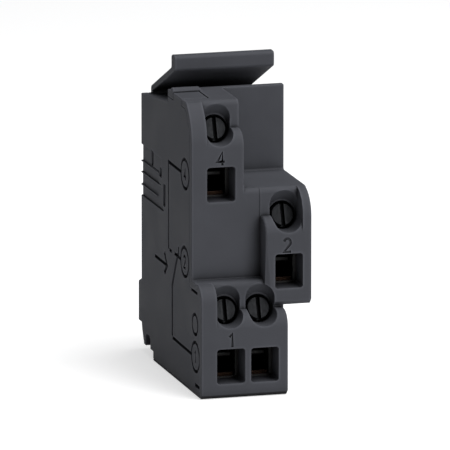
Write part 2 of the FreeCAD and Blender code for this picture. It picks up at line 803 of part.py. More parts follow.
def make_spring():
    """The coil spring that holds the blade and the plunger back, in straight stretches."""
    half = spring_wire / 2
    start = blade_front + half + spring_gap
    end = chamber_front - half - spring_gap
    steps = spring_turns * spring_steps
    sections = []
    for i in range(steps + 1):
        turn = 2 * math.pi * i / spring_steps
        depth = start + (end - start) * i / steps
        corners = []
        for k in range(spring_sides):
            side = 2 * math.pi * k / spring_sides
            reach = spring_radius + half * math.cos(side)
            corners.append(at(pole_across + reach * math.cos(turn), depth + half * math.sin(side),
                              plunger_height + reach * math.sin(turn)))
        sections.append(Part.makePolygon(corners + corners[:1]))
    return Part.makeLoft(sections, True, True)


def main():
    """Writes every piece to its own file."""
    pieces = {
        "casing": make_casing(),
        "side_cover": make_cover(),
        "release_latch": make_latch(),
        "open_contact_bar": make_open_bar(),
        "closed_contact_bar": make_closed_bar(),
        "common_bar": make_common_bar(),
        "open_contact_tip": make_open_tip(),
        "closed_contact_tip": make_closed_tip(),
        "pivot_pin": make_pivot(),
        "moving_blade": make_blade(),
        "moving_contact_rivet": make_rivet(),
        "rear_plunger": make_plunger(),
        "return_spring": make_spring(),
    }
    for terminal in terminals:
        name = terminal[0]
        pieces["terminal_screw_" + name] = make_screw(terminal)
        pieces["wire_clamp_" + name] = make_clamp(terminal)
        pieces["pressure_foot_" + name] = make_foot(terminal)
    os.makedirs("parts", exist_ok=True)
    for name, shape in pieces.items():
        solids = shape.Solids
        print(name, "solids", len(solids), "volume %.3f" % shape.Volume, "valid", shape.isValid())
        if len(solids) == 1:
            shape = solids[0]
        shape.exportStep("parts/%s.step" % name)


main()
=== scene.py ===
# %% [markdown]
# The object is a narrow auxiliary contact block for a circuit breaker: a stepped body of matte
# charcoal plastic, with slotted screws over square wire entries and a sloping latch on top.
# The construction comes ready made and stays fixed. This file gives it its looks: softened moulded
# edges, engraved numbers and diagram, threads, and the finish of every surface.

# %% Load the construction
import json
import math

import bmesh
import bpy
import numpy as np
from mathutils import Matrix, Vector
from mathutils.bvhtree import BVHTree


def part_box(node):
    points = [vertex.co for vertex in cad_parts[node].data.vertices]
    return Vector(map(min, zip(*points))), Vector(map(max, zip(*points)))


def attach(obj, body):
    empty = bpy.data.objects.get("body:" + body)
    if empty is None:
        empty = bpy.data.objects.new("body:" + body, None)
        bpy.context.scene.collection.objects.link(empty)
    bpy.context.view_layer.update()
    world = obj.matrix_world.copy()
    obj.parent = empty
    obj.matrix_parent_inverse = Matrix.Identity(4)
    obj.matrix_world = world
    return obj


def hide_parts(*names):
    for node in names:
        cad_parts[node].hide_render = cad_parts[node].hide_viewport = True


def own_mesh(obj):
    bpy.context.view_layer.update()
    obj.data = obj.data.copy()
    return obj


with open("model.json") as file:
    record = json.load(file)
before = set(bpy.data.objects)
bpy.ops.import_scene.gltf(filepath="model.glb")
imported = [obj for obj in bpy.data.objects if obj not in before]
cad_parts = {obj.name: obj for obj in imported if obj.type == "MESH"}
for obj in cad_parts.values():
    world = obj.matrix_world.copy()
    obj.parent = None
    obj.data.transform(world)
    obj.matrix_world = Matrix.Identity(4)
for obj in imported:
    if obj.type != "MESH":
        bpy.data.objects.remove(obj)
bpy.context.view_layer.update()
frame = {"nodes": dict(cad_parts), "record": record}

MM = 0.001
scene = bpy.context.scene
nodes = frame["nodes"]

# %% [markdown]
# The camera stands to the left of the front and a little above, far away, so that the block's upright
# edges stay almost parallel. A long lens at a long distance gives that look. Its place is worked out
# from the view's two angles instead of typed coordinates, so that a reader can turn it.

# %% Camera
view_turn = math.radians(-15.6)
view_rise = math.radians(12.3)
view_aim = Vector((-0.174, 0.0225, 16.44)) * MM
view_distance = 1220.45 * MM
view_lens = 887.6
sensor_width = 36.0

camera_data = bpy.data.cameras.new("camera")
camera_data.sensor_width = sensor_width
camera_data.lens = view_lens
camera_data.clip_end = 10.0
camera = bpy.data.objects.new("camera", camera_data)
scene.collection.objects.link(camera)
outwards = Vector((math.sin(view_turn) * math.cos(view_rise),
                   -math.cos(view_turn) * math.cos(view_rise), math.sin(view_rise)))
camera.location = view_aim + outwards * view_distance
camera.rotation_euler = (-outwards).to_track_quat("-Z", "Y").to_euler()
scene.camera = camera
print("camera at", [round(v, 4) for v in camera.location])

# %% [markdown]
# A product picture like this one has light from all round, most of it from above. A pale world and
# two large lamps give that: soft light shows the form of dark plastic without hard highlights. One
# lamp hangs overhead and the other stands to the right of the front, so that the front is lit more
# than the left side, as in the picture.

# %% Light
scene.view_settings.view_transform = "Standard"


def node(tree, kind, place=(0, 0), **values):
    """Adds a shader node of a kind and sets its plain properties."""
    made = tree.nodes.new(kind)
    made.location = place
    for key, value in values.items():
        setattr(made, key, value)
    return made


def join(tree, source, target):
    """Links an output socket to an input socket."""
    tree.links.new(source, target)


dome_strength = 0.24
world = bpy.data.worlds.new("soft_room")
scene.world = world
world.use_nodes = True
tree = world.node_tree
tree.nodes.clear()
room_light = node(tree, "ShaderNodeBackground", (0, 0))
room_light.inputs["Color"].default_value = (0.97, 0.98, 1.0, 1)
room_light.inputs["Strength"].default_value = dome_strength
world_out = node(tree, "ShaderNodeOutputWorld", (300, 0))
join(tree, room_light.outputs[0], world_out.inputs["Surface"])


def soft_lamp(name, place, size, power):
    """A square area lamp at a place, turned to the middle of the block."""
    data = bpy.data.lights.new(name, "AREA")
    data.shape = "SQUARE"
    data.size = size
    data.energy = power
    lamp = bpy.data.objects.new(name, data)
    scene.collection.objects.link(lamp)
    lamp.location = place
    lamp.rotation_euler = (view_aim - Vector(place)).to_track_quat("-Z", "Y").to_euler()
    return lamp


soft_lamp("overhead_lamp", (0.08, -0.06, 0.29), 0.22, 0.84)
soft_lamp("front_lamp", (0.16, -0.36, 0.10), 0.22, 0.64)

# %% [markdown]
# The floor is a plain pale sheet that carries the block's soft shadow. It is not part of the object.
# Seen by the camera, or mirrored in the block, it also gives off some light of its own, so that it
# reaches the white of a cut-out picture. The block is lit by it no more than by a pale table.

# %% Floor
floor_half = 1.5
floor_glow = 0.55
floor_mesh = bpy.data.meshes.new("floor")
floor_mesh.from_pydata([(x * floor_half, y * floor_half, 0) for x, y in
                        ((-1, -1), (1, -1), (1, 1), (-1, 1))], [], [(0, 1, 2, 3)])
floor = bpy.data.objects.new("floor", floor_mesh)
scene.collection.objects.link(floor)
floor_finish = bpy.data.materials.new("white_floor")
floor_finish.use_nodes = True
tree = floor_finish.node_tree
sheet = tree.nodes["Principled BSDF"]
sheet.inputs["Base Color"].default_value = (0.72, 0.72, 0.72, 1)
sheet.inputs["Roughness"].default_value = 0.9
sheet.inputs["Emission Color"].default_value = (1, 1, 1, 1)
path = node(tree, "ShaderNodeLightPath", (-900, 0))
mirrored = node(tree, "ShaderNodeMath", (-700, 0), operation="MAXIMUM")
join(tree, path.outputs["Is Camera Ray"], mirrored.inputs[0])
join(tree, path.outputs["Is Glossy Ray"], mirrored.inputs[1])
seen = node(tree, "ShaderNodeMath", (-500, 0), operation="MAXIMUM")
join(tree, mirrored.outputs[0], seen.inputs[0])
join(tree, path.outputs["Is Transmission Ray"], seen.inputs[1])
glow = node(tree, "ShaderNodeMath", (-300, 0), operation="MULTIPLY")
glow.inputs[1].default_value = floor_glow
join(tree, seen.outputs[0], glow.inputs[0])
join(tree, glow.outputs[0], sheet.inputs["Emission Strength"])
floor_mesh.materials.append(floor_finish)
print("floor", floor.name, "half size", floor_half)

# %% [markdown]
# Moulded plastic isn't one flat colour. The tool that it was moulded in is spark eroded, which leaves
# a fine even grain, and the resin flows in faint clouds. Several materials use that, so it is a node
# group with named inputs that is built once: pits for the bump, clouds for colour and roughness.

# %% Grain group


def new_group(name, inputs, outputs):
    """An empty shader node group with the given sockets, as (name, type, default)."""
    group = bpy.data.node_groups.new(name, "ShaderNodeTree")
    for label, kind, default in inputs:
        socket = group.interface.new_socket(name=label, in_out="INPUT", socket_type=kind)
        socket.default_value = default
    for label, kind in outputs:
        group.interface.new_socket(name=label, in_out="OUTPUT", socket_type=kind)
    ins = node(group, "NodeGroupInput", (-900, 0))
    outs = node(group, "NodeGroupOutput", (700, 0))
    return group, ins, outs


def chain(tree, operation, first, second, place=(0, 0)):
    """A math node whose inputs are sockets or plain numbers."""
    made = node(tree, "ShaderNodeMath", place, operation=operation)
    for i, value in enumerate((first, second)):
        if isinstance(value, (int, float)):
            made.inputs[i].default_value = value
        else:
            join(tree, value, made.inputs[i])
    return made.outputs[0]


def spread(tree, value, low, high, place=(0, 0)):
    """Stretches the middle band of a noise to run from -1 to 1."""
    made = node(tree, "ShaderNodeMapRange", place)
    made.inputs["From Min"].default_value = low
    made.inputs["From Max"].default_value = high
    made.inputs["To Min"].default_value = -1.0
    made.inputs["To Max"].default_value = 1.0
    join(tree, value, made.inputs["Value"])
    return made.outputs["Result"]


noise_band = (0.3, 0.7)
grain, grain_in, grain_out = new_group(
    "moulded_grain",
    [("Color", "NodeSocketColor", (0.06, 0.06, 0.07, 1)), ("Roughness", "NodeSocketFloat", 0.55),
     ("Pit Scale", "NodeSocketFloat", 9000.0), ("Pit Depth", "NodeSocketFloat", 0.000004),
     ("Cloud Scale", "NodeSocketFloat", 260.0), ("Tint", "NodeSocketFloat", 0.06)],
    [("Color", "NodeSocketColor"), ("Roughness", "NodeSocketFloat"), ("Normal", "NodeSocketVector")])
where = node(grain, "ShaderNodeTexCoord", (-900, 300))
pits = node(grain, "ShaderNodeTexNoise", (-600, 100))
pits.inputs["Detail"].default_value = 3.0
clouds = node(grain, "ShaderNodeTexNoise", (-600, 350))
clouds.inputs["Detail"].default_value = 3.0
join(grain, where.outputs["Object"], pits.inputs["Vector"])
join(grain, where.outputs["Object"], clouds.inputs["Vector"])
join(grain, grain_in.outputs["Pit Scale"], pits.inputs["Scale"])
join(grain, grain_in.outputs["Cloud Scale"], clouds.inputs["Scale"])
bump = node(grain, "ShaderNodeBump", (300, -300))
bump.inputs["Strength"].default_value = 0.6
join(grain, pits.outputs["Fac"], bump.inputs["Height"])
join(grain, grain_in.outputs["Pit Depth"], bump.inputs["Distance"])
join(grain, bump.outputs["Normal"], grain_out.inputs["Normal"])
cloud_swing = spread(grain, clouds.outputs["Fac"], *noise_band)
swing = chain(grain, "MULTIPLY", cloud_swing, grain_in.outputs["Tint"])
factor = chain(grain, "ADD", swing, 1.0, (100, 350))
shaded = node(grain, "ShaderNodeVectorMath", (300, 250), operation="SCALE")
join(grain, grain_in.outputs["Color"], shaded.inputs[0])
join(grain, factor, shaded.inputs["Scale"])
join(grain, shaded.outputs[0], grain_out.inputs["Color"])
gloss = chain(grain, "MULTIPLY", grain_in.outputs["Roughness"], factor)
join(grain, gloss, grain_out.inputs["Roughness"])
print("group", grain.name, [s.name for s in grain.interface.items_tree])

# %% [markdown]
# Painted light is put into the colour here: a painted highlight makes the edges of dark plastic a little
# paler, as rounded edges catch light, and painted shade darkens grooves and recesses, where shade falls.
# Both can be read from how open a point is: a ray test against the piece's own inside finds the edges,
# and one against the outside finds the recesses. The group turns them into masks: edges, fine grooves
# and deep recesses. A soft step keeps the recess mask off mere corners. It works on any form, with no
# painting by hand.

# %% Painted highlight and shade group
edges, edges_in, edges_out = new_group(
    "painted_highlight_and_shade",
    [("Color", "NodeSocketColor", (0.06, 0.06, 0.07, 1)), ("Edge Width", "NodeSocketFloat", 0.0003),
     ("Edge Highlight", "NodeSocketFloat", 0.6), ("Groove Size", "NodeSocketFloat", 0.0004),
     ("Groove Shade", "NodeSocketFloat", 0.6), ("Recess Size", "NodeSocketFloat", 0.002),
     ("Recess Shade", "NodeSocketFloat", 0.6)],
    [("Color", "NodeSocketColor")])


def closeness(distance, place, inside=False):
    """How far a point is closed in within a distance: 0 in the open, 1 fully closed."""
    test = node(edges, "ShaderNodeAmbientOcclusion", place, inside=inside, samples=6)
    join(edges, edges_in.outputs[distance], test.inputs["Distance"])
    return chain(edges, "SUBTRACT", 1.0, test.outputs["AO"])


# Painted highlight: the edge mask makes the colour paler on edges.
rim = closeness("Edge Width", (-600, 300), inside=True)
paler = chain(edges, "MULTIPLY", rim, edges_in.outputs["Edge Highlight"])
# Painted shade: the groove and recess masks make the colour darker where shade falls.
narrow = closeness("Groove Size", (-600, 0))
grooves = chain(edges, "MULTIPLY", narrow, edges_in.outputs["Groove Shade"])
deep = node(edges, "ShaderNodeMapRange", (-300, -300), interpolation_type="SMOOTHSTEP")
deep.inputs["From Min"].default_value = 0.1
deep.inputs["From Max"].default_value = 0.8
join(edges, closeness("Recess Size", (-600, -300)), deep.inputs["Value"])
recesses = chain(edges, "MULTIPLY", deep.outputs["Result"], edges_in.outputs["Recess Shade"])
darker = chain(edges, "MULTIPLY", chain(edges, "SUBTRACT", 1.0, grooves),
               chain(edges, "SUBTRACT", 1.0, recesses))
gain = chain(edges, "MULTIPLY", chain(edges, "ADD", paler, 1.0), darker)
tinted = node(edges, "ShaderNodeVectorMath", (300, 100), operation="SCALE")
join(edges, edges_in.outputs["Color"], tinted.inputs[0])
join(edges, gain, tinted.inputs["Scale"])
join(edges, tinted.outputs[0], edges_out.inputs["Color"])
print("group", edges.name, [s.name for s in edges.interface.items_tree])

# %% [markdown]
# Metal that is rolled or cut keeps fine lines in one direction. A picture of brushed metal would show
# them, but it has one scale only. Here a noise is stretched along a chosen axis, which gives lines
# of any length on any piece. The group puts out a normal and a roughness that follow the lines.

# %% Tool line group
lines, lines_in, lines_out = new_group(
    "tool_lines",
    [("Stretch", "NodeSocketVector", (6000.0, 300.0, 6000.0)), ("Depth", "NodeSocketFloat", 0.000003),
     ("Roughness", "NodeSocketFloat", 0.35), ("Swing", "NodeSocketFloat", 0.25)],
    [("Roughness", "NodeSocketFloat"), ("Normal", "NodeSocketVector")])
where = node(lines, "ShaderNodeTexCoord", (-900, 300))
drawn = node(lines, "ShaderNodeVectorMath", (-700, 300), operation="MULTIPLY")
join(lines, where.outputs["Object"], drawn.inputs[0])
join(lines, lines_in.outputs["Stretch"], drawn.inputs[1])
marks = node(lines, "ShaderNodeTexNoise", (-500, 300))
marks.inputs["Scale"].default_value = 1.0
marks.inputs["Detail"].default_value = 4.0
join(lines, drawn.outputs[0], marks.inputs["Vector"])
bump = node(lines, "ShaderNodeBump", (300, -200))
bump.inputs["Strength"].default_value = 0.5
join(lines, marks.outputs["Fac"], bump.inputs["Height"])
join(lines, lines_in.outputs["Depth"], bump.inputs["Distance"])
join(lines, bump.outputs["Normal"], lines_out.inputs["Normal"])
mark_swing = spread(lines, marks.outputs["Fac"], *noise_band)
swing = chain(lines, "MULTIPLY", mark_swing, lines_in.outputs["Swing"])
factor = chain(lines, "ADD", swing, 1.0, (100, 300))
gloss = chain(lines, "MULTIPLY", lines_in.outputs["Roughness"], factor)
join(lines, gloss, lines_out.inputs["Roughness"])
print("group", lines.name, [s.name for s in lines.interface.items_tree])

# %% [markdown]
# The block has six finishes: matte charcoal plastic for the mouldings, a smoother plastic for the
# plunger, copper strip and silver faces for the contacts, and pale and dark steel for the clamps and
# screws. Each could be one flat colour, but real plastic and metal never are. So one recipe for
# plastic and one for metal put the groups above together, and each finish only gives its own values.

# %% Plastic and metal


def plastic(name, color, roughness, specular, edge_highlight=0.9, groove_shade=0.8, recess_shade=0.6):
    """A moulded plastic: grain first, then painted highlights on its edges and painted shade in its
    grooves and recesses.
    """
    made = bpy.data.materials.new(name)
    made.use_nodes = True
    tree = made.node_tree
    shader = tree.nodes["Principled BSDF"]
    shader.inputs["Specular IOR Level"].default_value = specular
    skin = node(tree, "ShaderNodeGroup", (-700, 0), node_tree=grain)
    skin.inputs["Color"].default_value = (*color, 1)
    skin.inputs["Roughness"].default_value = roughness
    # The colour gets a painted highlight on edges and painted shade in grooves and recesses.
    painted_light = node(tree, "ShaderNodeGroup", (-400, 200), node_tree=edges)
    painted_light.inputs["Edge Highlight"].default_value = edge_highlight
    painted_light.inputs["Groove Shade"].default_value = groove_shade
    painted_light.inputs["Recess Shade"].default_value = recess_shade
    join(tree, skin.outputs["Color"], painted_light.inputs["Color"])
    join(tree, painted_light.outputs["Color"], shader.inputs["Base Color"])
    join(tree, skin.outputs["Roughness"], shader.inputs["Roughness"])
    join(tree, skin.outputs["Normal"], shader.inputs["Normal"])
    return made


def metal(name, color, roughness, stretch, recess=0.025, recess_shade=0.97):
    """A rolled or turned metal: tool lines for its gloss, and painted shade in its recesses."""
    made = bpy.data.materials.new(name)
    made.use_nodes = True
    tree = made.node_tree
    shader = tree.nodes["Principled BSDF"]
    shader.inputs["Metallic"].default_value = 1.0
    skin = node(tree, "ShaderNodeGroup", (-700, 0), node_tree=grain)
    skin.inputs["Color"].default_value = (*color, 1)
    skin.inputs["Tint"].default_value = 0.12
    # The colour gets painted shade in recesses.
    painted_light = node(tree, "ShaderNodeGroup", (-400, 200), node_tree=edges)
    painted_light.inputs["Recess Size"].default_value = recess
    painted_light.inputs["Recess Shade"].default_value = recess_shade
    tooled = node(tree, "ShaderNodeGroup", (-400, -200), node_tree=lines)
    tooled.inputs["Stretch"].default_value = stretch
    tooled.inputs["Roughness"].default_value = roughness
    join(tree, skin.outputs["Color"], painted_light.inputs["Color"])
    join(tree, painted_light.outputs["Color"], shader.inputs["Base Color"])
    join(tree, tooled.outputs["Roughness"], shader.inputs["Roughness"])
    join(tree, tooled.outputs["Normal"], shader.inputs["Normal"])
    return made


print("recipes", [plastic.__name__, metal.__name__])

# %% [markdown]
# The strips are rolled along the block's depth and the contact faces and screws are worked upright,
# so the finishes stretch their tool lines in these two directions. The steel and copper stand deep
# in the entries, where the picture shows almost black, so their recesses are dark.

# %% Finishes
along_depth = (6000.0, 300.0, 6000.0)
upright = (6000.0, 6000.0, 300.0)
finishes = {
    # Painted shade: the plastic's recess setting darkens its colour in the entries and channels.
    "charcoal_plastic": plastic("charcoal_plastic", (0.058, 0.060, 0.069), 0.68, 0.10,
                                recess_shade=0.8),
    "plunger_plastic": plastic("plunger_plastic", (0.10, 0.10, 0.11), 0.42, 0.45),
    # Copper is coloured much darker than bare copper, as painted shade for the entries, and its recess
    # setting paints more shade there.
    "contact_copper": metal("contact_copper", (0.27, 0.16, 0.11), 0.50, along_depth,
                            recess_shade=1.0),
    "contact_silver": metal("contact_silver", (0.78, 0.78, 0.76), 0.30, upright),
    # Clamp steel is coloured darker than bare steel, as painted shade for the entries, and its recess
    # setting paints more shade there.
    "clamp_steel": metal("clamp_steel", (0.26, 0.26, 0.26), 0.45, along_depth,
                         recess_shade=0.94),
    # The screw's small recess size paints shade into its slot.
    "screw_steel": metal("screw_steel", (0.026, 0.027, 0.029), 0.55, upright, recess=0.002,
                         recess_shade=0.3),
}
slot_of = {s["node"]: s["material_slot"] for s in frame["record"]["subparts"]}
for name, obj in nodes.items():
    obj.data.materials.clear()
    obj.data.materials.append(finishes[slot_of[name]])
print("finishes", sorted(finishes))

# %% [markdown]
# Engraved lines are needed next, for the numbers and the diagram. Each is a small tapered bar that is
# carried along a path in the surface and then taken out of the plastic. The path gives the places,
# and each place gets a sideways direction halfway between its two stretches, so corners stay sharp.

# %% Carry a groove along a path
groove_above = 0.05 * MM
groove_taper = 0.65


def carried(path, width, depth, surface, closed=False):
    """A bar of tapered section carried along a path (u, v): its places are the path's own, moved
    sideways by half the width at the surface and by less at the bottom, and lowered by the depth.
    The surface function turns arrays of u, v and height into places. Returns vertices and faces."""
    path = np.asarray(path, float)
    ahead = np.roll(path, -1, axis=0) - path
    ahead /= np.linalg.norm(ahead, axis=1)[:, None]
    behind = np.roll(ahead, 1, axis=0)
    if not closed:
        ahead[-1] = behind[-1]
        behind[0] = ahead[0]
    side_ahead = np.stack([-ahead[:, 1], ahead[:, 0]], axis=1)
    side_behind = np.stack([-behind[:, 1], behind[:, 0]], axis=1)
    mitre = side_ahead + side_behind
    mitre /= np.maximum((mitre * side_ahead).sum(axis=1), 0.55)[:, None]
    half = width / 2
    section = [(half, groove_above), (-half, groove_above),
               (-half * groove_taper, -depth), (half * groove_taper, -depth)]
    rows = []
    for across, height in section:
        place = path + mitre * across
        rows.append(surface(place[:, 0], place[:, 1], np.full(len(path), height)))
    count = len(path)
    verts = np.stack(rows, axis=1).reshape(-1, 3)
    steps = np.arange(count if closed else count - 1)
    faces = []
    for k in range(4):
        near, far = k, (k + 1) % 4
        after = (steps + 1) % count
        faces += np.stack([steps * 4 + near, steps * 4 + far, after * 4 + far, after * 4 + near],
                          axis=1).tolist()
    if not closed:
        last = (count - 1) * 4
        faces += [[3, 2, 1, 0], [last, last + 1, last + 2, last + 3]]
    return verts, faces


def circle(middle, radius, steps=28):
    """Places on a circle, by the cosine and sine of equal turns."""
    turn = np.linspace(0, 2 * math.pi, steps, endpoint=False)
    return np.stack([middle[0] + radius * np.cos(turn), middle[1] + radius * np.sin(turn)], axis=1)


def digit(name, middle, height, narrow=0.85):
    """The strokes of a plain digit, drawn in a box of the given height round its middle."""
    turn = np.radians(np.linspace(165, -40, 12))
    bow = np.stack([0.31 + 0.29 * np.cos(turn), 0.70 + 0.29 * np.sin(turn)], axis=1)
    strokes = {
        "1": [[(0.12, 0.76), (0.38, 1.0), (0.38, 0.0)]],
        "2": [np.concatenate([bow, [(0.02, 0.0), (0.64, 0.0)]])],
        "4": [[(0.46, 0.0), (0.46, 1.0), (0.0, 0.28), (0.66, 0.28)]],
    }[name]
    shift = np.array([0.32, 0.5])
    scale = np.array([narrow, 1.0]) * height
    return [np.asarray(middle) + (np.asarray(s) - shift) * scale for s in strokes]


print("digit 4 in mm", np.round(digit("4", (0, 0), 1.5)[0], 2).tolist())

# %% [markdown]
# Every added detail needs its place. None is guessed again: the wire clamps' boxes give the middle
# of each terminal, and the sizes from clamp to front and from entry to screw are the construction's
# own. Two small functions then turn flat drawings into places on the left side and on the fronts.

# %% Places on the block
casing_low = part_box("casing")[0]
left_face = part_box("side_cover")[0][0]
low_depth = 25.0 * MM
back_plane = casing_low[1] + low_depth
clamp_front = 2.8 * MM
clamp_down = 2.1 * MM
screw_rise = 5.8 * MM
screw_set = 2.70 * MM
terminals = {}
for name in ("4", "2", "1a", "1b"):
    low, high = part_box("wire_clamp_" + name)
    terminals[name] = ((low[0] + high[0]) / 2, low[1] - clamp_front, low[2] + clamp_down)


def on_left(u, v, height):
    """Places on the left side from depth forwards u, height above the floor v and height over it."""
    return np.stack([left_face - height, back_plane - u, v], axis=1)


def on_front(front):
    """The like for a block's front plane at a given y, from places across u."""
    return lambda u, v, height: np.stack([u, front - height, v], axis=1)


print("terminals in mm", {k: [round(x / MM, 2) for x in v] for k, v in terminals.items()})

# %% [markdown]
# The moulded pieces get soft edges next. A real mould leaves no sharp edge, and it is the thin light
# line on each edge that makes dark plastic look real. The construction's meshes are loose triangles,
# so each is copied, its doubles are merged and its flat areas made one face, and a bevel then rounds
# every edge over 30 degrees. Engravings are cut after that, so that they keep their crisp mouths.

# %% Measure the edges


def joined_copy(name):
    """A bmesh copy of a node with its doubles merged and its flat areas made one face each."""
    bm = bmesh.new()
    bm.from_mesh(nodes[name].data)
    bmesh.ops.remove_doubles(bm, verts=bm.verts, dist=0.002 * MM)
    bmesh.ops.dissolve_limit(bm, angle_limit=math.radians(0.3), verts=bm.verts, edges=bm.edges)
    return bm


def room_beside(edge, face):
    """How far a face reaches from one of its edges, measured across the edge."""
    start = edge.verts[0].co
    along = (edge.verts[1].co - start).normalized()
    return max((v.co - start - along * (v.co - start).dot(along)).length for v in face.verts)


sample = joined_copy("side_cover")
print("cover edges after merging", len(sample.edges))
sample.free()

# %% [markdown]
# Rounding thousands of edges at once has a risk: where two edges stand closer than the rounding is
# wide, faces fold over each other. One could round less everywhere, but that loses the light lines.
# Here the rounded mesh is compared with the plain one. Where a triangle is turned over or has
# strayed, the edges beside it get half their width, and after a few tries none.

# %% Soften
round_width = 0.10 * MM
round_angle = math.radians(30)
least_share = 0.2
room_share = 0.45
halving_tries = 6
sliver = 2e-5 * MM * MM
stray_share = 0.5
turned_over = -0.2
beside_share = 0.1


def folded(mesh, surface, width):
    """Corners and middles of the triangles that are turned over or lie off the old surface."""
    mesh.calc_loop_triangles()
    place = np.empty(len(mesh.vertices) * 3)
    mesh.vertices.foreach_get("co", place)
    corner = np.empty(len(mesh.loop_triangles) * 3, int)
    mesh.loop_triangles.foreach_get("vertices", corner)
    tri = place.reshape(-1, 3)[corner.reshape(-1, 3)]
    cross = np.cross(tri[:, 1] - tri[:, 0], tri[:, 2] - tri[:, 0])
    size = np.linalg.norm(cross, axis=1)
    keep = size > sliver
    middle = tri[keep].mean(axis=1)
    found = [surface.find_nearest(m) for m in middle]
    facing = np.array([f[1] for f in found])
    off = np.array([f[3] for f in found])
    normal = cross[keep] / size[keep][:, None]
    wrong = (off > stray_share * width) | ((facing * normal).sum(axis=1) < turned_over)
    return np.concatenate([tri[keep], middle[:, None, :]], axis=1)[wrong]


def soften(name, width, tries=30):
    """An object with a node's shape whose edges over 30 degrees are rounded. Each edge's share of
    the width is at most what its faces have room for, and is halved where the rounding folds."""
    plain = joined_copy(name)
    surface = BVHTree.FromBMesh(plain)
    ends = np.array([[v.co[:] for v in e.verts] for e in plain.edges])
    room = np.array([min(room_beside(e, f) for f in e.link_faces) for e in plain.edges])
    turned = np.array([e.calc_face_angle(0) > round_angle for e in plain.edges])
    share = np.where(turned, np.minimum(1, room_share * room / width), 0)
    share[share < least_share] = 0
    mesh = bpy.data.meshes.new(name + "_finish")
    plain.to_mesh(mesh)
    plain.free()
    piece = bpy.data.objects.new(name + "_finish", mesh)
    scene.collection.objects.link(piece)
    rounding = piece.modifiers.new("rounding", "BEVEL")
    rounding.width = width
    rounding.segments = 3
    rounding.limit_method = "WEIGHT"
    rounding.use_clamp_overlap = False
    rounding.loop_slide = False
    mesh.attributes.new("bevel_weight_edge", "FLOAT", "EDGE")
    for attempt in range(tries):
        weight = mesh.attributes["bevel_weight_edge"]
        weight.data.foreach_set("value", share)
        mesh.update()
        graph = bpy.context.evaluated_depsgraph_get()
        wrong = folded(piece.evaluated_get(graph).to_mesh(), surface, width)
        if not len(wrong):
            break
        active = np.flatnonzero(share)
        start = ends[active, 0]
        along = ends[active, 1] - start
        beside = np.zeros(len(active), bool)
        for place in (wrong[:, 3] if attempt < halving_tries else wrong.reshape(-1, 3)):
            part = np.clip(((place - start) * along).sum(axis=1) / (along ** 2).sum(axis=1), 0, 1)
            off = np.linalg.norm(start + along * part[:, None] - place, axis=1)
            beside |= off < off.min() + beside_share * width
        share[active[beside]] *= 0.5 if attempt < halving_tries else 0
        share[share < least_share] = 0
    length = np.linalg.norm(ends[:, 1] - ends[:, 0], axis=1)
    kept = (length * share).sum() / (length * turned).sum()
    print(name, "tries", attempt + 1, "still folded", len(wrong), "share rounded", round(kept, 2))
    return piece


print("rounding in mm", round_width / MM)

# %% [markdown]
# The engravings are cut with an exact boolean, which keeps the flat faces whole and leaves crisp
# mouths. The grooves of one piece go in together as one cutter, and the cutter is deleted after.

# %% Cutters


def mesh_of(verts, faces, name):
    """A mesh from places and faces, with its normals facing outwards."""
    mesh = bpy.data.meshes.new(name)
    mesh.from_pydata(verts.tolist(), [], faces)
    bm = bmesh.new()
    bm.from_mesh(mesh)
    bmesh.ops.recalc_face_normals(bm, faces=bm.faces)
    bm.to_mesh(mesh)
    bm.free()
    return mesh


def together(shapes, name):
    """One mesh from several (vertices, faces) shapes."""
    verts = np.concatenate([v for v, f in shapes])
    starts = np.cumsum([0] + [len(v) for v, f in shapes[:-1]])
    faces = [[i + int(s) for i in face] for (v, f), s in zip(shapes, starts) for face in f]
    return mesh_of(verts, faces, name)


def finished(obj):
    """Bakes an object's modifiers into its mesh."""
    graph = bpy.context.evaluated_depsgraph_get()
    mesh = bpy.data.meshes.new_from_object(obj.evaluated_get(graph))
    obj.modifiers.clear()
    obj.data = mesh
    return obj


print("helpers", [mesh_of.__name__, together.__name__, finished.__name__])

# %% [markdown]
# A boolean leaves long thin faces whose averaged normals smear light over flat areas. So each face
# corner gets its own normal, from the neighbours that lie almost in line, weighted by their area.

# %% Smooth the light
smooth_angle = math.radians(35)
own_weight = 1e-15


def show_smooth(obj, material):
    """Gives each face corner the mean normal, by area, of those faces at its vertex that turn less
    than the smooth angle from the corner's own face. Flat areas stay flat and sharp edges sharp."""
    mesh = obj.data
    mesh.shade_smooth()
    corners, faces = len(mesh.loops), len(mesh.polygons)
    vertex = np.empty(corners, int)
    mesh.loops.foreach_get("vertex_index", vertex)
    sides = np.empty(faces, int)
    mesh.polygons.foreach_get("loop_total", sides)
    normal = np.empty(faces * 3)
    mesh.polygons.foreach_get("normal", normal)
    normal = normal.reshape(-1, 3)
    area = np.empty(faces)
    mesh.polygons.foreach_get("area", area)
    order = np.argsort(vertex, kind="stable")
    vertex = vertex[order]
    face = np.repeat(np.arange(faces), sides)[order]
    total = normal[face] * own_weight
    most = int(np.bincount(vertex).max())
    for shift in range(1 - most, most):
        here = np.arange(max(0, -shift), corners - max(0, shift))
        here = here[vertex[here] == vertex[here + shift]]
        other = face[here + shift]
        near = (normal[face[here]] * normal[other]).sum(axis=1) > math.cos(smooth_angle)
        total[here[near]] += normal[other[near]] * area[other[near]][:, None]
    total /= np.maximum(np.linalg.norm(total, axis=1), 1e-30)[:, None]
    mean = np.empty((corners, 3))
    mean[order] = total
    mesh.normals_split_custom_set(mean.tolist())
    mesh.materials.clear()
    mesh.materials.append(material)


print("smooth below", round(math.degrees(smooth_angle)), "degrees")

# %% [markdown]
# A moulded piece is then always made in the same order: soften, engrave, smooth, and stand in for
# its part of the construction, on the body that carries it and with its own finish.

# %% Moulded piece


